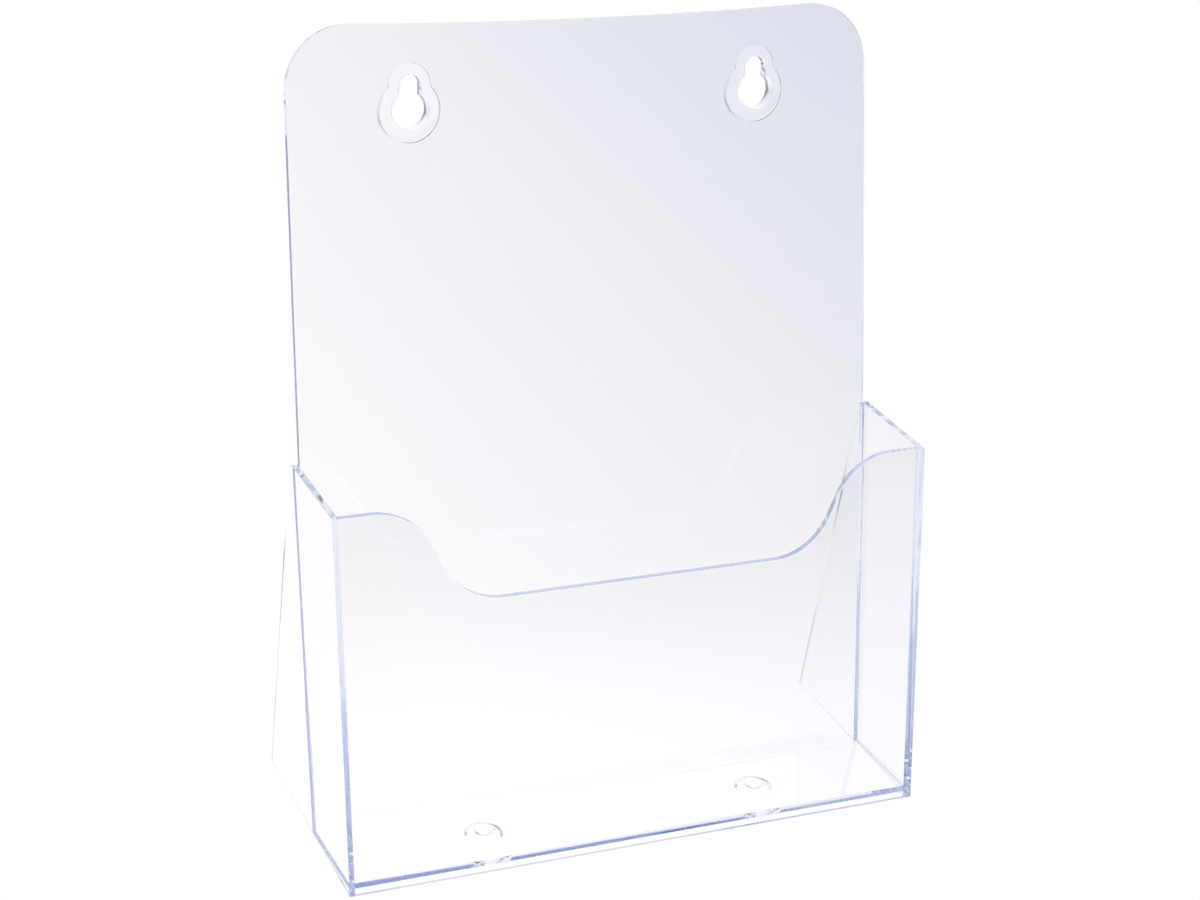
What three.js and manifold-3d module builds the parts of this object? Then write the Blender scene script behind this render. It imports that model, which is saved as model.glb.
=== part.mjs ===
// Brochure rack for a counter or a wall: one clear pocket for letter-size leaflets.
// The real rack is a single injection moulding. Each wall, wing and boss of it is a solid of its own here.
// Millimetres, +Z up, the front faces -Y, and the origin lies on the table under the middle of the rack.
import * as THREE from 'three';
import { mergeVertices } from 'three/addons/utils/BufferGeometryUtils.js';
import Module from 'manifold-3d';

// ---- Driving dimensions ----
const WALL = 2.4; // thickness of every upright wall
const GAP = 0.3; // clearance between neighbouring solids

const BASE_WIDTH = 230; // over the side walls, at the table
const POCKET_WIDTH = 235; // over the side walls, at the top of the pocket
const POCKET_HEIGHT = 136.1; // rim of the pocket at the front
const POCKET_HEIGHT_BACK = 134.8; // rim of the pocket at the back
const POCKET_DEPTH = 40.3; // front face to back panel face, at the table
const FRONT_LEAN = THREE.MathUtils.degToRad(13.2); // backward lean of the front panel
const BACK_LEAN = THREE.MathUtils.degToRad(14.6); // backward lean of the back panel

const PANEL_LENGTH = 293.5; // back panel, measured along its slope
const PANEL_TOP_HALF_WIDTH = 114.7; // back panel just under its corner rounds
const PANEL_CORNER_RADIUS = 23;
const PANEL_TOP_DIP = 1.8; // how far the middle of the top edge sits below its ends

const VALLEY = 103.3; // bottom of the finger dip, measured along the front panel's slope
const VALLEY_HALF_WIDTH = 54; // straight stretch of the dip
const SWOOP_RADIUS = 25.5; // both arcs of each S-shaped shoulder
const SWOOP_ANGLE = THREE.MathUtils.degToRad(64); // slope where the two arcs meet

const WING_TOP = 79.7; // rear edge of the wing at the rim, behind the front of the base
const WING_FOOT = 91.5; // rear tip of the wing at the table, behind the front of the base
const WING_CORNER_RADIUS = 4; // between the rim and the wing's rear edge

const FLOOR_THICKNESS = 2;
const FLOOR_TILT = THREE.MathUtils.degToRad(3.2); // the floor rises towards the front
const FLOOR_BOSS_X = 56;
const FLOOR_BOSS_RADIUS = 8;
const FLOOR_BOSS_DOME = 0.8; // crown of the boss above the floor
const FLOOR_BOSS_SKIN = 1.1; // wall of the boss over its recess
const GATE_RADIUS = 1.1; // trimmed gate stub in the recess
const GATE_LENGTH = 0.6;

const KEYHOLE_X = 68.4;
const KEYHOLE_HEIGHT = 262.2; // centre of the round hole, along the back panel's slope
const KEYHOLE_RADIUS = 6.6; // passes a screw head
const KEYHOLE_RISE = 9; // centre of the slot's round end above the hole's centre
const SLOT_RADIUS = 3.8; // half the width of the slot
const BOSS_RADIUS = 11.5; // boss around the round hole
const BOSS_TOP_RADIUS = 7.9; // boss around the slot's round end
const BOSS_TOP_STANDOFF = 0.5; // rear face of the boss behind the panel, at the boss's top

const CURVE_STEPS = 16;

// ---- Values worked out from them ----
const BASE_HALF = BASE_WIDTH / 2;
const DRAFT = (POCKET_WIDTH - BASE_WIDTH) / 2 / POCKET_HEIGHT; // outward slope of the side walls
const FRONT_REAR_Y = WALL / Math.cos(FRONT_LEAN); // front panel's inner face at the table
const PANEL_FRONT_Y = POCKET_DEPTH; // back panel's front face at the table
const PANEL_REAR_Y = PANEL_FRONT_Y + WALL / Math.cos(BACK_LEAN); // and its rear face
const DEPTH = PANEL_REAR_Y + PANEL_LENGTH * Math.sin(BACK_LEAN);
const HEIGHT = PANEL_LENGTH * Math.cos(BACK_LEAN) + WALL * Math.sin(BACK_LEAN);
const SHOULDER = (POCKET_HEIGHT - WALL * Math.sin(FRONT_LEAN)) / Math.cos(FRONT_LEAN);
// A wall behind the rack touches the wing feet and the top edge of the back panel.
const HANGING_LEAN = Math.atan2(DEPTH - WING_FOOT, HEIGHT);

const X_AXIS = new THREE.Vector3(1, 0, 0);
const Y_AXIS = new THREE.Vector3(0, 1, 0);
const Z_AXIS = new THREE.Vector3(0, 0, 1);

/** Half the clear width between the side walls at a height, less the clearance. */
function innerHalfWidth(z) {
  return BASE_HALF + DRAFT * z - WALL - GAP;
}

function clearPlastic() {
  return new THREE.MeshStandardMaterial({ color: 0xe6e9f5, roughness: 0.06, metalness: 0 });
}

function named(name, geometry) {
  const mesh = new THREE.Mesh(geometry, clearPlastic());
  mesh.name = name;
  return mesh;
}

/** A group whose XY plane is a panel's rear face: X stays, Y climbs the slope, Z points to the front. */
function leaningGroup(yAtTable, lean) {
  const group = new THREE.Group();
  group.position.y = yAtTable;
  group.rotation.x = Math.PI / 2 - lean;
  return group;
}

/** Cuts a leaning panel's bottom end level, so that it stands flat on the table. */
function levelBottom(geometry, lean) {
  const points = geometry.attributes.position;
  for (let i = 0; i < points.count; i += 1) {
    if (points.getY(i) < GAP) {
      points.setY(i, -points.getZ(i) * Math.tan(lean));
    }
  }
  return geometry;
}

// ---- Back panel and keyholes ----

/** The round hole with the slot above it, about the round hole's centre. */
function addKeyhole(path, x, y) {
  const meet = Math.atan2(Math.sqrt(KEYHOLE_RADIUS ** 2 - SLOT_RADIUS ** 2), SLOT_RADIUS);
  path.absarc(x, y, KEYHOLE_RADIUS, Math.PI - meet, 2 * Math.PI + meet, false);
  path.absarc(x, y + KEYHOLE_RISE, SLOT_RADIUS, 0, Math.PI, false);
  path.closePath();
  return path;
}

/** The figure-of-eight outline of a boss: two circles about the keyhole's two centres. */
function bossOutline() {
  const waistY = (KEYHOLE_RISE ** 2 + BOSS_RADIUS ** 2 - BOSS_TOP_RADIUS ** 2) / (2 * KEYHOLE_RISE);
  const waistX = Math.sqrt(BOSS_RADIUS ** 2 - waistY ** 2);
  const largeEnd = Math.atan2(waistY, waistX);
  const smallEnd = Math.atan2(waistY - KEYHOLE_RISE, waistX);
  const shape = new THREE.Shape();
  shape.absarc(0, 0, BOSS_RADIUS, Math.PI - largeEnd, 2 * Math.PI + largeEnd, false);
  shape.absarc(0, KEYHOLE_RISE, BOSS_TOP_RADIUS, smallEnd, Math.PI - smallEnd, false);
  shape.closePath();
  return shape;
}

function backPanel() {
  const pocketTop = POCKET_HEIGHT_BACK / Math.cos(BACK_LEAN);
  const straightHalf = PANEL_TOP_HALF_WIDTH - PANEL_CORNER_RADIUS;
  const cornerY = PANEL_LENGTH - PANEL_CORNER_RADIUS;
  const dipRadius = (straightHalf ** 2 + PANEL_TOP_DIP ** 2) / (2 * PANEL_TOP_DIP);
  const dipHalfAngle = Math.asin(straightHalf / dipRadius);
  const shape = new THREE.Shape();
  shape.moveTo(-innerHalfWidth(0), 0);
  shape.lineTo(innerHalfWidth(0), 0);
  shape.lineTo(innerHalfWidth(POCKET_HEIGHT_BACK), pocketTop);
  shape.absarc(straightHalf, cornerY, PANEL_CORNER_RADIUS, 0, Math.PI / 2, false);
  shape.absarc(0, PANEL_LENGTH - PANEL_TOP_DIP + dipRadius, dipRadius,
    -Math.PI / 2 + dipHalfAngle, -Math.PI / 2 - dipHalfAngle, true);
  shape.absarc(-straightHalf, cornerY, PANEL_CORNER_RADIUS, Math.PI / 2, Math.PI, false);
  shape.lineTo(-innerHalfWidth(POCKET_HEIGHT_BACK), pocketTop);
  shape.closePath();
  for (const side of [-1, 1]) {
    shape.holes.push(addKeyhole(new THREE.Path(), side * KEYHOLE_X, KEYHOLE_HEIGHT));
  }
  const geometry = new THREE.ExtrudeGeometry(shape, {
    depth: WALL, bevelEnabled: false, curveSegments: CURVE_STEPS,
  });
  return named('back_panel', levelBottom(geometry, BACK_LEAN));
}

/** A wedge ring behind the panel, thicker at the bottom: its rear face is parallel to the wall it hangs on. */
function keyholeBoss(name, x) {
  const shape = bossOutline();
  shape.holes.push(addKeyhole(new THREE.Path(), 0, 0));
  const geometry = new THREE.ExtrudeGeometry(shape, {
    depth: 1, bevelEnabled: false, curveSegments: CURVE_STEPS,
  });
  const top = KEYHOLE_RISE + BOSS_TOP_RADIUS;
  const taper = Math.tan(BACK_LEAN - HANGING_LEAN);
  const points = geometry.attributes.position;
  for (let i = 0; i < points.count; i += 1) {
    const standoff = BOSS_TOP_STANDOFF + (top - points.getY(i)) * taper;
    points.setZ(i, points.getZ(i) > 0.5 ? -GAP : -standoff);
  }
  const mesh = named(name, geometry);
  mesh.position.set(x, KEYHOLE_HEIGHT, 0);
  return mesh;
}

// ---- Front panel ----

/** The front wall: level shoulders that swoop down in two arcs to the straight finger dip. */
function frontPanel() {
  const turn = SWOOP_ANGLE;
  const straight = (SHOULDER - VALLEY - 2 * SWOOP_RADIUS * (1 - Math.cos(turn))) / Math.sin(turn);
  const run = 2 * SWOOP_RADIUS * Math.sin(turn) + straight * Math.cos(turn);
  const shoulderX = VALLEY_HALF_WIDTH + run;
  const highY = SHOULDER - SWOOP_RADIUS;
  const lowY = VALLEY + SWOOP_RADIUS;
  const up = Math.PI / 2;
  const shape = new THREE.Shape();
  shape.moveTo(-innerHalfWidth(0), 0);
  shape.lineTo(innerHalfWidth(0), 0);
  shape.lineTo(innerHalfWidth(POCKET_HEIGHT), SHOULDER);
  shape.absarc(shoulderX, highY, SWOOP_RADIUS, up, up + turn, false);
  shape.absarc(VALLEY_HALF_WIDTH, lowY, SWOOP_RADIUS, -up + turn, -up, true);
  shape.absarc(-VALLEY_HALF_WIDTH, lowY, SWOOP_RADIUS, -up, -up - turn, true);
  shape.absarc(-shoulderX, highY, SWOOP_RADIUS, up - turn, up, false);
  shape.lineTo(-innerHalfWidth(POCKET_HEIGHT), SHOULDER);
  shape.closePath();
  const geometry = new THREE.ExtrudeGeometry(shape, {
    depth: WALL, bevelEnabled: false, curveSegments: CURVE_STEPS,
  });
  return named('front_panel', levelBottom(geometry, FRONT_LEAN));
}

// ---- Side walls and rear wings ----

const manifold = await Module();
manifold.setup();

function solidOf(geometry) {
  const bare = geometry.clone();
  bare.deleteAttribute('normal');
  bare.deleteAttribute('uv');
  const welded = mergeVertices(bare, 1e-4);
  return new manifold.Manifold(new manifold.Mesh({
    numProp: 3,
    vertProperties: new Float32Array(welded.attributes.position.array),
    triVerts: new Uint32Array(welded.index.array),
  }));
}

function geometryOf(solid) {
  const mesh = solid.getMesh();
  const geometry = new THREE.BufferGeometry();
  geometry.setAttribute('position', new THREE.BufferAttribute(mesh.vertProperties, 3));
  geometry.setIndex(new THREE.BufferAttribute(mesh.triVerts, 1));
  return geometry;
}

/** The whole side of the rack in Y and Z: the wall beside the pocket and the wing behind it. */
function sideOutline() {
  const corner = new THREE.Vector2(WING_TOP, POCKET_HEIGHT_BACK);
  const foot = new THREE.Vector2(WING_FOOT, 0);
  const frontTop = new THREE.Vector2(POCKET_HEIGHT * Math.tan(FRONT_LEAN), POCKET_HEIGHT);
  const down = foot.clone().sub(corner).normalize();
  const forward = frontTop.clone().sub(corner).normalize();
  const halfAngle = Math.acos(down.dot(forward)) / 2;
  const centre = down.clone().add(forward).normalize()
    .multiplyScalar(WING_CORNER_RADIUS / Math.sin(halfAngle))
    .add(corner);
  const shape = new THREE.Shape();
  shape.moveTo(0, 0);
  shape.lineTo(foot.x, foot.y);
  shape.absarc(centre.x, centre.y, WING_CORNER_RADIUS,
    down.angle() + Math.PI / 2, forward.angle() - Math.PI / 2, false);
  shape.lineTo(frontTop.x, frontTop.y);
  shape.closePath();
  return shape;
}

/** The side as an upright plate, one wall thick, sloping outward by the draft. */
function sidePlate(side) {
  const geometry = new THREE.ExtrudeGeometry(sideOutline(), {
    depth: WALL, bevelEnabled: false, curveSegments: CURVE_STEPS,
  });
  geometry.applyMatrix4(new THREE.Matrix4().makeBasis(Y_AXIS, Z_AXIS, X_AXIS));
  geometry.applyMatrix4(new THREE.Matrix4().makeShear(0, 0, 0, 0, side * DRAFT, 0));
  return solidOf(geometry);
}

/** A block that fills everything in front of a plane, at an offset behind the back panel's rear face. */
function inFrontOfPanelRear(offset) {
  const reach = 4 * POCKET_DEPTH;
  const block = new THREE.BoxGeometry(reach, 2 * reach, reach);
  block.translate(0, 0, reach / 2);
  block.rotateX(Math.PI / 2 - BACK_LEAN);
  block.translate(0, PANEL_REAR_Y + offset, 0);
  return solidOf(block);
}

/** The plate is cut where the back panel's rear face meets it: wall in front, wing behind. */
function addSide(group, word, side) {
  const plate = sidePlate(side);
  const wall = named(`${word}_side_wall`, geometryOf(plate.intersect(inFrontOfPanelRear(0))));
  const wing = named(`${word}_rear_wing`, geometryOf(plate.subtract(inFrontOfPanelRear(GAP))));
  for (const mesh of [wall, wing]) {
    mesh.position.x = side > 0 ? BASE_HALF - WALL : -BASE_HALF;
    group.add(mesh);
  }
}

// ---- Floor ----

const FLOOR_REAR_Y = PANEL_FRONT_Y - GAP;
const FLOOR_FRONT_RISE = FLOOR_THICKNESS + POCKET_DEPTH * Math.sin(FLOOR_TILT);
const FLOOR_FRONT_Y = FRONT_REAR_Y + FLOOR_FRONT_RISE * Math.tan(FRONT_LEAN) + GAP;
const FLOOR_LENGTH = (FLOOR_REAR_Y - FLOOR_FRONT_Y) / Math.cos(FLOOR_TILT);

function pocketFloor() {
  const half = innerHalfWidth(0);
  const shape = new THREE.Shape();
  shape.moveTo(-half, -FLOOR_LENGTH);
  shape.lineTo(half, -FLOOR_LENGTH);
  shape.lineTo(half, 0);
  shape.lineTo(-half, 0);
  shape.closePath();
  for (const side of [-1, 1]) {
    const hole = new THREE.Path();
    hole.absarc(side * FLOOR_BOSS_X, -FLOOR_LENGTH / 2, FLOOR_BOSS_RADIUS + GAP, 0, 2 * Math.PI, false);
    shape.holes.push(hole);
  }
  const geometry = new THREE.ExtrudeGeometry(shape, {
    depth: FLOOR_THICKNESS, bevelEnabled: false, curveSegments: CURVE_STEPS,
  });
  return named('pocket_floor', geometry);
}

/** A low dome in the floor over a shallow recess, where the plastic entered, with the trimmed gate stub. */
function floorBoss(name, x) {
  const rimWidth = FLOOR_BOSS_SKIN;
  const crown = FLOOR_THICKNESS + FLOOR_BOSS_DOME;
  const ceiling = crown - FLOOR_BOSS_SKIN;
  const profile = [];
  const steps = 8;
  for (let i = 0; i <= steps; i += 1) {
    const t = i / steps;
    profile.push(new THREE.Vector2(FLOOR_BOSS_RADIUS * t, crown - FLOOR_BOSS_DOME * t * t));
  }
  profile.push(new THREE.Vector2(FLOOR_BOSS_RADIUS, 0));
  const recessRadius = FLOOR_BOSS_RADIUS - rimWidth;
  for (let i = steps; i >= 1; i -= 1) {
    const t = i / steps;
    const r = GATE_RADIUS + (recessRadius - GATE_RADIUS) * t;
    profile.push(new THREE.Vector2(r, ceiling * (1 - t * t)));
  }
  profile.push(new THREE.Vector2(GATE_RADIUS, ceiling));
  profile.push(new THREE.Vector2(GATE_RADIUS, ceiling - GATE_LENGTH));
  profile.push(new THREE.Vector2(0, ceiling - GATE_LENGTH));
  const geometry = new THREE.LatheGeometry(profile.reverse(), 2 * CURVE_STEPS);
  geometry.rotateX(Math.PI / 2);
  const mesh = named(name, geometry);
  mesh.position.set(x, -FLOOR_LENGTH / 2, 0);
  return mesh;
}

// ---- Assembly ----

const rack = new THREE.Group();
rack.position.y = -DEPTH / 2;

const back = leaningGroup(PANEL_REAR_Y, BACK_LEAN);
back.add(backPanel());
back.add(keyholeBoss('left_keyhole_boss', -KEYHOLE_X));
back.add(keyholeBoss('right_keyhole_boss', KEYHOLE_X));

const front = leaningGroup(FRONT_REAR_Y, FRONT_LEAN);
front.add(frontPanel());

const floor = new THREE.Group();
floor.position.y = FLOOR_REAR_Y;
floor.rotation.x = -FLOOR_TILT;
floor.add(pocketFloor());
floor.add(floorBoss('left_floor_boss', -FLOOR_BOSS_X));
floor.add(floorBoss('right_floor_boss', FLOOR_BOSS_X));

rack.add(back, front, floor);
addSide(rack, 'left', -1);
addSide(rack, 'right', 1);

export default rack;
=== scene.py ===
"""Looks of the clear brochure rack: one continuous injection moulding in water-clear plastic.

The rack is built here as a single watertight mesh, in millimetres, from the same dimensions as the
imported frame. Then it is scaled to metres and takes the place of the frame's separate walls.
"""

import math

import bmesh
import bpy
from mathutils import Matrix, Vector


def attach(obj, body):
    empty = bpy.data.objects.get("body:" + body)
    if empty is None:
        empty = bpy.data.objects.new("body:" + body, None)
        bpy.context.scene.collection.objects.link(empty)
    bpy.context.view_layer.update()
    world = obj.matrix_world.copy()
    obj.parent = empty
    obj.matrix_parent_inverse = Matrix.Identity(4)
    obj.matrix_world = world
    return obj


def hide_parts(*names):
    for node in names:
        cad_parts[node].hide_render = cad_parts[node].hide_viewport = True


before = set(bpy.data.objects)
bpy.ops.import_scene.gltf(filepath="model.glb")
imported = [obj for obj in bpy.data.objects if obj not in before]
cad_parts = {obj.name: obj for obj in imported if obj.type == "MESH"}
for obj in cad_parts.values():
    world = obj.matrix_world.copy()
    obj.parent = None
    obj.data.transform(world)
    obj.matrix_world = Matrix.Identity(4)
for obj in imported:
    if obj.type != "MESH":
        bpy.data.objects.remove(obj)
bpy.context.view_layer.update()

MM = 0.001

# ---- Driving dimensions of the rack, in millimetres ----
WALL = 2.4
BASE_HALF = 115.0  # half the width over the side walls, at the table
POCKET_HALF = 117.5  # the same at the rim
POCKET_HEIGHT = 136.1  # rim at the front
POCKET_HEIGHT_BACK = 134.8  # rim at the back
POCKET_DEPTH = 40.3  # front face to back panel, at the table
FRONT_LEAN = math.radians(13.2)
BACK_LEAN = math.radians(14.6)

PANEL_LENGTH = 293.5  # back panel, along its slope
PANEL_TOP_HALF = 114.7
PANEL_CORNER_RADIUS = 23.0
PANEL_TOP_DIP = 1.8

VALLEY = 103.3  # bottom of the finger dip, along the front panel's slope
VALLEY_HALF = 54.0
SWOOP_RADIUS = 25.5
SWOOP_ANGLE = math.radians(64)
SWOOP_STEPS = 72

WING_TOP = 79.7
WING_FOOT = 91.5
WING_CORNER_RADIUS = 4.0

FLOOR_THICKNESS = 2.0
FLOOR_TILT = math.radians(3.2)
FLOOR_BOSS_X = 56.0
FLOOR_BOSS_RADIUS = 8.0
FLOOR_BOSS_DOME = 1.2  # how far a boss stands above the floor
FLOOR_BOSS_SKIN = 1.1  # thickness of the plastic over the recess below it
BOSS_TOOL_TOP = 1.0  # where the solid that adds a boss ends, inside the floor
RECESS_TOOL_FOOT = -2.0  # where the solid that cuts its recess ends, under the floor
GATE_RADIUS = 3.4
GATE_LENGTH = 1.5
STEEP = 5  # power of the curve of a floor boss: the higher, the steeper its side
PAST_EDGE = 1.08  # how far past its own radius a boss is carried on, into the floor

KEYHOLE_X = 68.4
KEYHOLE_HEIGHT = 262.2
KEYHOLE_RADIUS = 6.6
KEYHOLE_RISE = 9.0
SLOT_RADIUS = 3.8
BOSS_RADIUS = 11.5
BOSS_TOP_RADIUS = 7.9
BOSS_TOP_STANDOFF = 0.5

EDGE_RADIUS = 0.2  # small round that the mould leaves on every outer edge
FOOT_RADIUS = 0.9  # the edges that stand on the table
FILLET_RADIUS = 0.7  # round inside the pocket, where its walls and floor meet
REAR_FILLET_RADIUS = 1.0  # the same behind the panel
UNDER_FILLET_RADIUS = 0.4  # and under the floor
FILLET_STEPS = 5
FREE_EDGE = 0.3  # how far the panel's free edge lies inside the side walls' inner faces
FOOT_LAND = 0.01  # edges lower than this lie on the table, at the mould's parting line
OVERLAP = 1.2  # how far one wall runs into the next before they are joined
BEYOND = 10.0  # how far a cutting shape sticks out of what it cuts
SAME_POINT = 0.005  # corners nearer than this are one
DECIMALS = 4  # points are rounded, so that faces in one plane are exactly in one plane

# Steps of the curves
ARC_STEPS = 24
WING_CORNER_STEPS = 12
HOLE_STEPS = 40
SLOT_STEPS = 20
TURN_STEPS = 48
SHOULDER_STEPS = 9
ROUND_STEPS = 3

# Places whose edges stay sharp: half their size across, in depth and in height
BOSS_SPOT = (9, 9, 5)
RIM_SPOT = (2.2, 3.5, 2.5)

# ---- Values worked out from them ----
QUARTER = math.pi / 2
FLAT = math.radians(0.2)  # two faces that meet at less than this are one
SHARP = math.radians(28)  # two faces that meet at more than this make an edge
DRAFT = (POCKET_HALF - BASE_HALF) / POCKET_HEIGHT
RIM_FRONT_Y = POCKET_HEIGHT * math.tan(FRONT_LEAN)
RIM_FALL = (POCKET_HEIGHT - POCKET_HEIGHT_BACK) / (WING_TOP - RIM_FRONT_Y)
FRONT_REAR_Y = WALL / math.cos(FRONT_LEAN)
PANEL_REAR_Y = POCKET_DEPTH + WALL / math.cos(BACK_LEAN)
DEPTH = PANEL_REAR_Y + PANEL_LENGTH * math.sin(BACK_LEAN)
HEIGHT = PANEL_LENGTH * math.cos(BACK_LEAN) + WALL * math.sin(BACK_LEAN)
HANGING_LEAN = math.atan2(DEPTH - WING_FOOT, HEIGHT)

# The rack is put together in the back panel's own frame: X across it, Y up its slope and Z out of its
# rear face to the front. PANEL_FRAME carries that frame to the rack standing on the table.
PANEL_FRAME = Matrix.Translation((0, PANEL_REAR_Y, 0)) @ Matrix.Rotation(QUARTER - BACK_LEAN, 4, "X")
TO_PANEL = PANEL_FRAME.inverted()


# ---- Outlines and solids ----

def arc(x, y, radius, start, end, steps=ARC_STEPS):
    """Points of an arc about (x, y), from one angle to the other."""
    angles = [start + (end - start) * i / steps for i in range(steps + 1)]
    return [(x + radius * math.cos(a), y + radius * math.sin(a)) for a in angles]


def mirrored(points):
    """The same points on the left, in reverse order."""
    return [(-x, y) for x, y in reversed(points)]


def tidied(point):
    """A point with its coordinates rounded."""
    return Vector([round(value, DECIMALS) for value in point])


def mesh_object(name, mesh):
    """A scene object from a bmesh, with its faces turned outward."""
    bmesh.ops.recalc_face_normals(mesh, faces=mesh.faces)
    data = bpy.data.meshes.new(name)
    mesh.to_mesh(data)
    mesh.free()
    piece = bpy.data.objects.new(name, data)
    bpy.context.scene.collection.objects.link(piece)
    return piece


def prism(outline, near, far, place, rounded=(), radius=0.0):
    """A closed solid: an outline carried from one depth to another, each point set by place().

    Every edge that starts at one of the rounded corners of the outline gets the radius.
    """
    mesh = bmesh.new()
    ends = [
        [mesh.verts.new(TO_PANEL @ Vector(place(u, v, depth))) for u, v in outline]
        for depth in (near, far)
    ]
    for i in range(len(outline)):
        j = (i + 1) % len(outline)
        mesh.faces.new((ends[0][i], ends[0][j], ends[1][j], ends[1][i]))
    for end in ends:
        mesh.faces.new(end)
    corners = {end[i] for end in ends for i in rounded}
    edges = [edge for edge in mesh.edges if corners.intersection(edge.verts)]
    if edges:
        bmesh.ops.recalc_face_normals(mesh, faces=mesh.faces)
        bmesh.ops.bevel(
            mesh, geom=edges, offset=radius, segments=FILLET_STEPS, profile=0.5, affect="EDGES"
        )
    for corner in mesh.verts:
        corner.co = tidied(corner.co)
    return mesh_object("solid", mesh)


def turned(profile, place):
    """A closed solid of revolution. The profile runs from the axis out and back to the axis."""
    mesh = bmesh.new()
    rings = []
    for radius, height in profile:
        around = TURN_STEPS if radius > 0 else 1
        angles = [2 * math.pi * i / TURN_STEPS for i in range(around)]
        points = [place(radius * math.cos(a), radius * math.sin(a), height) for a in angles]
        rings.append([mesh.verts.new(tidied(TO_PANEL @ Vector(point))) for point in points])
    for low, high in zip(rings, rings[1:]):
        for i in range(TURN_STEPS):
            j = (i + 1) % TURN_STEPS
            corners = [low[i % len(low)], low[j % len(low)], high[j % len(high)], high[i % len(high)]]
            mesh.faces.new(list(dict.fromkeys(corners)))
    return mesh_object("solid", mesh)


def settle(piece):
    """Applies the piece's modifiers to its mesh."""
    seen = bpy.context.evaluated_depsgraph_get()
    data = bpy.data.meshes.new_from_object(piece.evaluated_get(seen))
    piece.modifiers.clear()
    piece.data = data


def combine(piece, tool, operation):
    """Adds the tool's solid to the piece, or cuts it away, and removes the tool."""
    step = piece.modifiers.new("combine", "BOOLEAN")
    step.operation = operation
    step.solver = "EXACT"
    step.object = tool
    settle(piece)
    bpy.data.objects.remove(tool)


# ---- Places: how an outline's own axes lie in the standing rack ----

def across(inset):
    """Places a side view (y, z) at the left or right wall's outer face, less an inset."""
    def place(y, z, side):
        return (side * (BASE_HALF + DRAFT * z - inset), y, z)
    return place


def on_back_panel(x, slope, forward):
    """Places a point by its distance up the back panel's slope and in front of its rear face."""
    return PANEL_FRAME @ Vector((x, slope, forward))


def on_floor(x, y, z):
    """Places a point above the tilted floor's underside, measured forward from its rear edge."""
    return (
        x,
        POCKET_DEPTH - y * math.cos(FLOOR_TILT) + z * math.sin(FLOOR_TILT),
        y * math.sin(FLOOR_TILT) + z * math.cos(FLOOR_TILT),
    )


def on_front_face(x, slope, back):
    """Places a point on the front face by its distance up the slope, then back along the rim."""
    return (x, slope * math.sin(FRONT_LEAN) + back, slope * math.cos(FRONT_LEAN) - back * RIM_FALL)


def shifted(place, dx, dy):
    """The same place, with its first two coordinates moved."""
    def moved(x, y, z):
        return place(x + dx, y + dy, z)
    return moved


def leaning(y, lean, z):
    """A point in the side view at a height, on a line that crosses the table at y and leans back."""
    return (y + z * math.tan(lean), z)


def floor_meets(y, lean, rise):
    """Where that line crosses the floor's plane, raised from the underside."""
    slope = math.tan(FLOOR_TILT)
    z = (rise + (POCKET_DEPTH - y) * slope) / (1 + math.tan(lean) * slope)
    return leaning(y, lean, z)


# ---- Pocket: a solid wedge with its hollows cut out ----

def side_outline():
    """The whole side of the rack, with its corner round behind. It starts under the table."""
    corner = Vector((WING_TOP, POCKET_HEIGHT_BACK))
    foot = Vector((WING_FOOT, 0))
    front_top = Vector((RIM_FRONT_Y, POCKET_HEIGHT))
    down = (foot - corner).normalized()
    forward = (front_top - corner).normalized()
    half_angle = down.angle(forward) / 2
    centre = corner + (down + forward).normalized() * WING_CORNER_RADIUS / math.sin(half_angle)
    start = math.atan2(down.y, down.x) + QUARTER
    end = math.atan2(forward.y, forward.x) - QUARTER
    corner_arc = arc(centre.x, centre.y, WING_CORNER_RADIUS, start, end, WING_CORNER_STEPS)
    front_foot = leaning(0, FRONT_LEAN, -OVERLAP)
    rear_foot = foot + OVERLAP * down
    return [front_foot, tuple(rear_foot), *corner_arc, tuple(front_top)]


def cut_pocket(body):
    """The space for the leaflets: fillets along its floor and up its four corners."""
    rise = FLOOR_THICKNESS / math.cos(FLOOR_TILT)
    high = POCKET_HEIGHT + BEYOND
    outline = [
        floor_meets(FRONT_REAR_Y, FRONT_LEAN, rise),
        floor_meets(POCKET_DEPTH, BACK_LEAN, rise),
        leaning(POCKET_DEPTH, BACK_LEAN, high),
        leaning(FRONT_REAR_Y, FRONT_LEAN, high),
    ]
    combine(body, prism(outline, -1, 1, across(WALL), (0, 1), FILLET_RADIUS), "DIFFERENCE")


def cut_rear(body):
    """The open space behind the back panel, between the wings."""
    far, low, high = WING_FOOT + BEYOND, -BEYOND, POCKET_HEIGHT + BEYOND
    outline = [
        leaning(PANEL_REAR_Y, BACK_LEAN, low),
        (far, low),
        (far, high),
        leaning(PANEL_REAR_Y, BACK_LEAN, high),
    ]
    combine(body, prism(outline, -1, 1, across(WALL), (0, 3), REAR_FILLET_RADIUS), "DIFFERENCE")


def cut_under_floor(body):
    """The shallow recess under the tilted floor."""
    outline = [
        floor_meets(FRONT_REAR_Y, FRONT_LEAN, 0),
        floor_meets(POCKET_DEPTH, BACK_LEAN, 0),
        leaning(POCKET_DEPTH, BACK_LEAN, -BEYOND),
        leaning(FRONT_REAR_Y, FRONT_LEAN, -BEYOND),
    ]
    combine(body, prism(outline, -1, 1, across(WALL), (0,), UNDER_FILLET_RADIUS), "DIFFERENCE")


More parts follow.
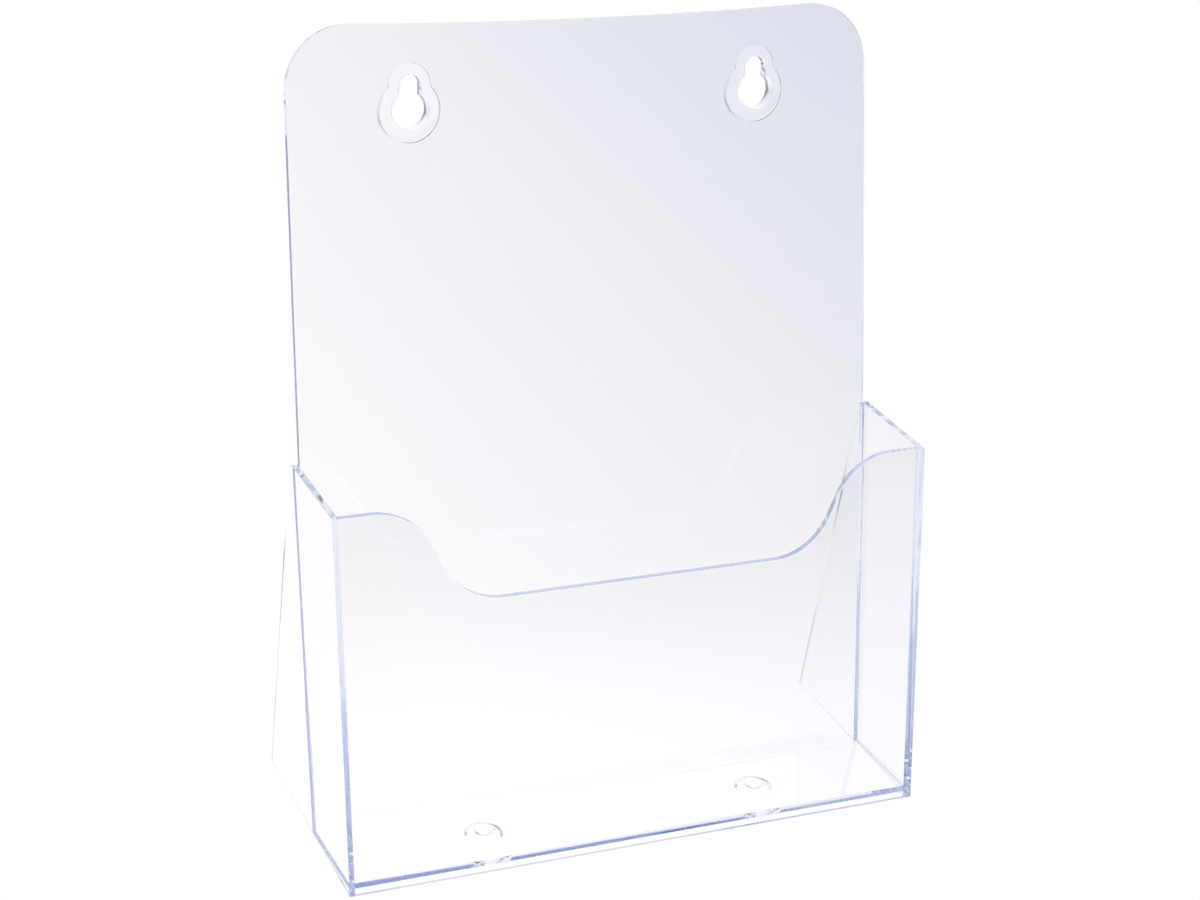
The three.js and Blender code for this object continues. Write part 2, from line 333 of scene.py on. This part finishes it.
def swoop_outline():
    """What is cut from the front wall: two S-shaped shoulders with a straight dip between them."""
    top = POCKET_HEIGHT / math.cos(FRONT_LEAN)
    valley = VALLEY + WALL * math.tan(FRONT_LEAN)
    turn = SWOOP_ANGLE
    straight = (top - valley - 2 * SWOOP_RADIUS * (1 - math.cos(turn))) / math.sin(turn)
    shoulder = VALLEY_HALF + 2 * SWOOP_RADIUS * math.sin(turn) + straight * math.cos(turn)
    right = [
        *arc(VALLEY_HALF, valley + SWOOP_RADIUS, SWOOP_RADIUS, -QUARTER, turn - QUARTER, SWOOP_STEPS),
        *arc(shoulder, top - SWOOP_RADIUS, SWOOP_RADIUS, QUARTER + turn, QUARTER, SWOOP_STEPS),
        (shoulder, top + BEYOND),
    ]
    return mirrored(right) + right


# ---- Back panel with its keyholes ----

def panel_outline():
    """The back panel from halfway up the pocket. Its straight sides end in the round top corners."""
    middle = POCKET_HEIGHT_BACK / 2
    free_half = POCKET_HALF - WALL - FREE_EDGE
    straight = PANEL_TOP_HALF - PANEL_CORNER_RADIUS
    dip_radius = (straight**2 + PANEL_TOP_DIP**2) / (2 * PANEL_TOP_DIP)
    dip_angle = math.asin(straight / dip_radius)
    dip_y = PANEL_LENGTH - PANEL_TOP_DIP + dip_radius
    right = [
        (free_half, middle),
        *arc(straight, PANEL_LENGTH - PANEL_CORNER_RADIUS, PANEL_CORNER_RADIUS, 0, QUARTER),
    ]
    dip = arc(0, dip_y, dip_radius, -QUARTER + dip_angle, -QUARTER - dip_angle)
    return right + dip[1:-1] + mirrored(right)


def keyhole_outline():
    """A round hole with a narrower slot above it."""
    meet = math.acos(SLOT_RADIUS / KEYHOLE_RADIUS)
    hole = arc(0, 0, KEYHOLE_RADIUS, math.pi - meet, 2 * math.pi + meet, HOLE_STEPS)
    slot = arc(0, KEYHOLE_RISE, SLOT_RADIUS, 0, math.pi, SLOT_STEPS)
    return hole + slot


def boss_outline():
    """Two circles about the keyhole's two centres, joined at a waist."""
    waist_y = (KEYHOLE_RISE**2 + BOSS_RADIUS**2 - BOSS_TOP_RADIUS**2) / (2 * KEYHOLE_RISE)
    waist_x = math.sqrt(BOSS_RADIUS**2 - waist_y**2)
    large = math.atan2(waist_y, waist_x)
    small = math.atan2(waist_y - KEYHOLE_RISE, waist_x)
    lower = arc(0, 0, BOSS_RADIUS, math.pi - large, 2 * math.pi + large, HOLE_STEPS)
    upper = arc(0, KEYHOLE_RISE, BOSS_TOP_RADIUS, small, math.pi - small)
    return lower + upper[1:-1]


def boss_place(x):
    """Behind the panel about a keyhole. Depth 0 is the rear face, parallel to the wall it hangs on."""
    taper = math.tan(BACK_LEAN - HANGING_LEAN)
    top = KEYHOLE_RISE + BOSS_TOP_RADIUS

    def place(u, v, depth):
        standoff = BOSS_TOP_STANDOFF + (top - v) * taper
        return on_back_panel(x + u, KEYHOLE_HEIGHT + v, depth if depth > 0 else -standoff)
    return place


def add_back_panel(body):
    """The leaning panel with a wedge-shaped boss behind each keyhole."""
    combine(body, prism(panel_outline(), 0, WALL, on_back_panel), "UNION")
    for side in (-1, 1):
        x = side * KEYHOLE_X
        hole = prism(keyhole_outline(), -BEYOND, BEYOND, shifted(on_back_panel, x, KEYHOLE_HEIGHT))
        combine(body, prism(boss_outline(), 0, OVERLAP, boss_place(x)), "UNION")
        combine(body, hole, "DIFFERENCE")


# ---- Gate bosses in the floor ----

def shoulder(radius, height, rise):
    """Profile of a round shape: a flat middle and a steep side that drops below its own base."""
    turns = [QUARTER * i / SHOULDER_STEPS for i in range(SHOULDER_STEPS + 1)]
    steps = [PAST_EDGE * math.sin(turn) for turn in turns]
    return [(radius * t, height + rise * (1 - t**STEEP)) for t in steps]


def closed_at(profile, height):
    """The same profile, closed by a flat end at a height."""
    return [*profile, (profile[-1][0], height), (0, height)]


def add_floor_boss(body, side):
    """A low disc over a recess in the underside, with the trimmed gate stub in it."""
    place = shifted(on_floor, side * FLOOR_BOSS_X, (POCKET_DEPTH - FRONT_REAR_Y) / 2)
    ceiling = FLOOR_THICKNESS + FLOOR_BOSS_DOME - FLOOR_BOSS_SKIN
    disc = shoulder(FLOOR_BOSS_RADIUS, FLOOR_THICKNESS, FLOOR_BOSS_DOME)
    recess = shoulder(FLOOR_BOSS_RADIUS - FLOOR_BOSS_SKIN, 0, ceiling)
    combine(body, turned(closed_at(disc, BOSS_TOOL_TOP), place), "UNION")
    combine(body, turned(closed_at(recess, RECESS_TOOL_FOOT), place), "DIFFERENCE")
    low, high = ceiling - GATE_LENGTH, ceiling + FLOOR_BOSS_SKIN / 3
    stub = [(0, low), (GATE_RADIUS / 2, low), (GATE_RADIUS, ceiling), (GATE_RADIUS, high), (0, high)]
    combine(body, turned(stub, place), "UNION")


# ---- The moulding ----

def below_table():
    """Everything under the table's plane."""
    far = 2 * POCKET_HEIGHT
    outline = [(-far, -far), (far, -far), (far, 0), (-far, 0)]
    return prism(outline, -far, far, lambda y, z, x: (x, y, z))


def edge_radius(edge):
    """How much an edge is rounded: at the foot more in front and outside, and not at all elsewhere."""
    middle = PANEL_FRAME @ ((edge.verts[0].co + edge.verts[1].co) / 2)
    if edge.calc_face_angle_signed(0) < SHARP or stays_sharp(middle):
        return 0
    if middle.z > FOOT_LAND:
        return EDGE_RADIUS
    outside = middle.y < FRONT_REAR_Y + FOOT_LAND or abs(middle.x) > BASE_HALF - FOOT_LAND
    return FOOT_RADIUS if outside else 0


def stays_sharp(middle):
    """Whether a place is on a floor boss, or where the panel stands on the rim."""
    rim_y = (POCKET_DEPTH + PANEL_REAR_Y) / 2 + POCKET_HEIGHT_BACK * math.tan(BACK_LEAN)
    spots = (
        ((FLOOR_BOSS_X, POCKET_DEPTH / 2, 0), BOSS_SPOT),
        ((POCKET_HALF - WALL, rim_y, POCKET_HEIGHT_BACK), RIM_SPOT),
    )
    spread = (abs(middle.x), middle.y, middle.z)
    return any(
        all(abs(value - centre) < reach for value, centre, reach in zip(spread, centres, reaches))
        for centres, reaches in spots
    )


def round_edges(piece):
    """Rounds every sharp outer edge: more at the foot, a little elsewhere."""
    mesh = bmesh.new()
    mesh.from_mesh(piece.data)
    bmesh.ops.remove_doubles(mesh, verts=mesh.verts, dist=SAME_POINT)
    bmesh.ops.dissolve_limit(mesh, angle_limit=FLAT, verts=mesh.verts, edges=mesh.edges)
    share = mesh.edges.layers.float.new("bevel_weight_edge")
    for edge in mesh.edges:
        edge[share] = edge_radius(edge) / FOOT_RADIUS
    mesh.to_mesh(piece.data)
    mesh.free()
    step = piece.modifiers.new("round", "BEVEL")
    step.width = FOOT_RADIUS
    step.segments = ROUND_STEPS
    step.limit_method = "WEIGHT"
    step.use_clamp_overlap = False
    settle(piece)


def shade_smoothly(piece):
    """Keeps the large faces flat and lets the rounds between them turn smoothly."""
    for face in piece.data.polygons:
        face.use_smooth = True
    step = piece.modifiers.new("normals", "WEIGHTED_NORMAL")
    step.mode = "FACE_AREA"
    settle(piece)


def moulding():
    """The whole rack as one closed solid, in metres, in the frame's place."""
    rack = prism(side_outline(), -1, 1, across(0))
    rack.name = "rack_moulding"
    cut_pocket(rack)
    cut_rear(rack)
    cut_under_floor(rack)
    combine(rack, prism(swoop_outline(), -BEYOND, BEYOND, on_front_face), "DIFFERENCE")
    add_back_panel(rack)
    for side in (-1, 1):
        add_floor_boss(rack, side)
    combine(rack, below_table(), "DIFFERENCE")
    round_edges(rack)
    rack.data.transform(Matrix.Scale(MM, 4) @ Matrix.Translation((0, -DEPTH / 2, 0)) @ PANEL_FRAME)
    shade_smoothly(rack)
    return rack


# ---- Materials ----

WHITE = (1, 1, 1, 1)
REFRACTIVE_INDEX = 1.59  # styrene
TINT = (0.54, 0.63, 0.84, 1)
TINT_DENSITY = 7.5  # per metre: clear through a wall, blue along it
LEAST_HAZE = 0.02  # roughness where the noise is weak
MOST_HAZE = 0.05  # and where it is strong
HAZE_NOISE = (0.35, 0.8)  # the part of the noise's range that is used
HAZE_SCALE = 35
FLOW_SCALE = 9
FLOW_STRENGTH = 0.15
FLOW_DEPTH = 0.001


def node(tree, kind, place=(0, 0), **values):
    """A shader node with its settings and input values."""
    made = tree.nodes.new(kind)
    made.location = place
    for name, value in values.items():
        if hasattr(made, name):
            setattr(made, name, value)
        else:
            made.inputs[name.replace("_", " ")].default_value = value
    return made


def clear_plastic():
    """Water-clear styrene: faint flow waves and haze on its faces, a blue tint that shows at edges."""
    material = bpy.data.materials.new("clear_plastic")
    material.use_nodes = True
    tree = material.node_tree
    tree.nodes.clear()
    link = tree.links.new
    output = node(tree, "ShaderNodeOutputMaterial", (600, 0))
    body = node(
        tree, "ShaderNodeBsdfPrincipled", (300, 0),
        Base_Color=WHITE, Transmission_Weight=1, IOR=REFRACTIVE_INDEX,
    )
    where = node(tree, "ShaderNodeTexCoord", (-900, 0))

    haze = node(tree, "ShaderNodeTexNoise", (-600, 150), Scale=HAZE_SCALE, Detail=4, Roughness=0.6)
    rough = node(
        tree, "ShaderNodeMapRange", (-300, 150),
        From_Min=HAZE_NOISE[0], From_Max=HAZE_NOISE[1], To_Min=LEAST_HAZE, To_Max=MOST_HAZE,
    )
    link(where.outputs["Object"], haze.inputs["Vector"])
    link(haze.outputs["Fac"], rough.inputs["Value"])
    link(rough.outputs["Result"], body.inputs["Roughness"])

    flow = node(tree, "ShaderNodeTexNoise", (-600, -200), Scale=FLOW_SCALE, Detail=1, Roughness=0.3)
    wave = node(tree, "ShaderNodeBump", (-300, -200), Strength=FLOW_STRENGTH, Distance=FLOW_DEPTH)
    link(where.outputs["Object"], flow.inputs["Vector"])
    link(flow.outputs["Fac"], wave.inputs["Height"])
    link(wave.outputs["Normal"], body.inputs["Normal"])

    tint = node(tree, "ShaderNodeVolumeAbsorption", (300, -300), Color=TINT, Density=TINT_DENSITY)
    link(body.outputs["BSDF"], output.inputs["Surface"])
    link(tint.outputs["Volume"], output.inputs["Volume"])
    return material


# ---- Stage ----

FLOOR_NEAR = (1.07, 1.045, 1.06, 1)  # light of the floor on the left
FLOOR_FAR = (0.77, 0.795, 0.88, 1)  # and on the right
FLOOR_FALL = (1, 0, 0)
FLOOR_RANGE = (-0.02, 0.53)  # metres over which the one turns into the other
FRONT_DARK = (0.16, 0.17, 0.2, 1)  # the floor ends in a dark room in front
FRONT_FALL = (0, -1, 0)
FRONT_RANGE = (0.3, 2.6)
REAR_FALL = (0.7, 0.7, 0)  # far behind and to the right, the floor runs into the bright room
REAR_RANGE = (1.2, 2.7)
SKY_FALL = (0, 1, 1.2)  # the room is dark in front at the horizon, and bright above and behind
SKY_RANGE = (-0.85, -0.1)
SKY_DARK = (0.14, 0.15, 0.19, 1)
SKY_BRIGHT = (1.08, 1.07, 1.1, 1)
STAGE_RADIUS = 4
STAGE_SIDES = 96
STAGE_DROP = 0.0003  # keeps the floor clear of the rack's feet


def fading(tree, where, fall, reach, near, far):
    """A colour that fades along one direction, from near (a colour or a socket) to far."""
    along = node(tree, "ShaderNodeVectorMath", (-700, 0), operation="DOT_PRODUCT")
    along.inputs[1].default_value = fall
    fade = node(tree, "ShaderNodeMapRange", (-500, 0), From_Min=reach[0], From_Max=reach[1])
    blend = node(tree, "ShaderNodeMix", (-300, 0), data_type="RGBA")
    tree.links.new(where, along.inputs[0])
    tree.links.new(along.outputs["Value"], fade.inputs["Value"])
    tree.links.new(fade.outputs["Result"], blend.inputs[0])
    if isinstance(near, bpy.types.NodeSocket):
        tree.links.new(near, blend.inputs[6])
    else:
        blend.inputs[6].default_value = near
    blend.inputs[7].default_value = far
    return blend.outputs[2]


def lit_and_seen(tree, kind, colour, output):
    """Light of a varying colour on the rack, and plain white for the camera."""
    lit = node(tree, kind, (-100, 0))
    seen = node(tree, kind, (-100, -150), Color=WHITE)
    path = node(tree, "ShaderNodeLightPath", (-100, 300))
    mix = node(tree, "ShaderNodeMixShader", (100, 0))
    tree.links.new(colour, lit.inputs["Color"])
    tree.links.new(path.outputs["Is Camera Ray"], mix.inputs["Fac"])
    tree.links.new(lit.outputs[0], mix.inputs[1])
    tree.links.new(seen.outputs[0], mix.inputs[2])
    tree.links.new(mix.outputs["Shader"], output.inputs["Surface"])


def stage_floor():
    """A wide pale floor. Its light falls off to the right, and it meets the dark and bright room."""
    mesh = bmesh.new()
    bmesh.ops.create_circle(mesh, cap_ends=True, segments=STAGE_SIDES, radius=STAGE_RADIUS)
    floor = mesh_object("stage_floor", mesh)
    floor.location.z = -STAGE_DROP
    material = bpy.data.materials.new("pale_floor")
    material.use_nodes = True
    tree = material.node_tree
    tree.nodes.clear()
    where = node(tree, "ShaderNodeTexCoord", (-900, 0)).outputs["Object"]
    colour = fading(tree, where, FLOOR_FALL, FLOOR_RANGE, FLOOR_NEAR, FLOOR_FAR)
    colour = fading(tree, where, REAR_FALL, REAR_RANGE, colour, SKY_BRIGHT)
    colour = fading(tree, where, FRONT_FALL, FRONT_RANGE, colour, FRONT_DARK)
    output = node(tree, "ShaderNodeOutputMaterial", (300, 0))
    lit_and_seen(tree, "ShaderNodeEmission", colour, output)
    floor.data.materials.append(material)


def studio():
    """A room that is white above and behind the rack and dark in front of it."""
    world = bpy.data.worlds.new("studio")
    bpy.context.scene.world = world
    world.use_nodes = True
    tree = world.node_tree
    tree.nodes.clear()
    where = node(tree, "ShaderNodeTexCoord", (-900, 0)).outputs["Generated"]
    colour = fading(tree, where, SKY_FALL, SKY_RANGE, SKY_DARK, SKY_BRIGHT)
    output = node(tree, "ShaderNodeOutputWorld", (300, 0))
    lit_and_seen(tree, "ShaderNodeBackground", colour, output)


# ---- Camera ----

CAMERA_AT = (-0.404137, -0.801879, 0.576597)
CAMERA_YAW = 0.4615
CAMERA_PITCH = -0.4564
CAMERA_ROLL = 0.1012
CAMERA_LENS = 81.732
SENSOR_WIDTH = 36
CAMERA_REACH = 50


def camera():
    """A camera in front of the rack, to its left and above."""
    yaw, pitch, roll = CAMERA_YAW, CAMERA_PITCH, CAMERA_ROLL
    ahead = Vector((
        math.sin(yaw) * math.cos(pitch),
        math.cos(yaw) * math.cos(pitch),
        math.sin(pitch),
    ))
    level = Vector((math.cos(yaw), -math.sin(yaw), 0))
    upward = level.cross(ahead)
    right = math.cos(roll) * level + math.sin(roll) * upward
    up = -math.sin(roll) * level + math.cos(roll) * upward
    data = bpy.data.cameras.new("camera")
    data.lens = CAMERA_LENS
    data.sensor_width = SENSOR_WIDTH
    data.clip_end = CAMERA_REACH
    seen = bpy.data.objects.new("camera", data)
    seen.matrix_world = Matrix((
        (right.x, up.x, -ahead.x, CAMERA_AT[0]),
        (right.y, up.y, -ahead.y, CAMERA_AT[1]),
        (right.z, up.z, -ahead.z, CAMERA_AT[2]),
        (0, 0, 0, 1),
    ))
    bpy.context.scene.collection.objects.link(seen)
    bpy.context.scene.camera = seen


BOUNCES = 256
TRANSPARENT_BOUNCES = 16


def light_paths():
    """Light runs far inside clear walls before it leaves at an edge, so its paths are long."""
    scene = bpy.context.scene
    scene.cycles.max_bounces = BOUNCES
    scene.cycles.transmission_bounces = BOUNCES
    scene.cycles.glossy_bounces = BOUNCES
    scene.cycles.transparent_max_bounces = TRANSPARENT_BOUNCES
    scene.cycles.caustics_reflective = True
    scene.cycles.caustics_refractive = True
    scene.cycles.use_denoising = True
    scene.view_settings.view_transform = "Standard"
    scene.view_settings.look = "None"


# ---- Scene ----

rack = moulding()
rack.data.materials.clear()
rack.data.materials.append(clear_plastic())
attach(rack, "root")
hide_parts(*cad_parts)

stage_floor()
studio()
camera()
light_paths()
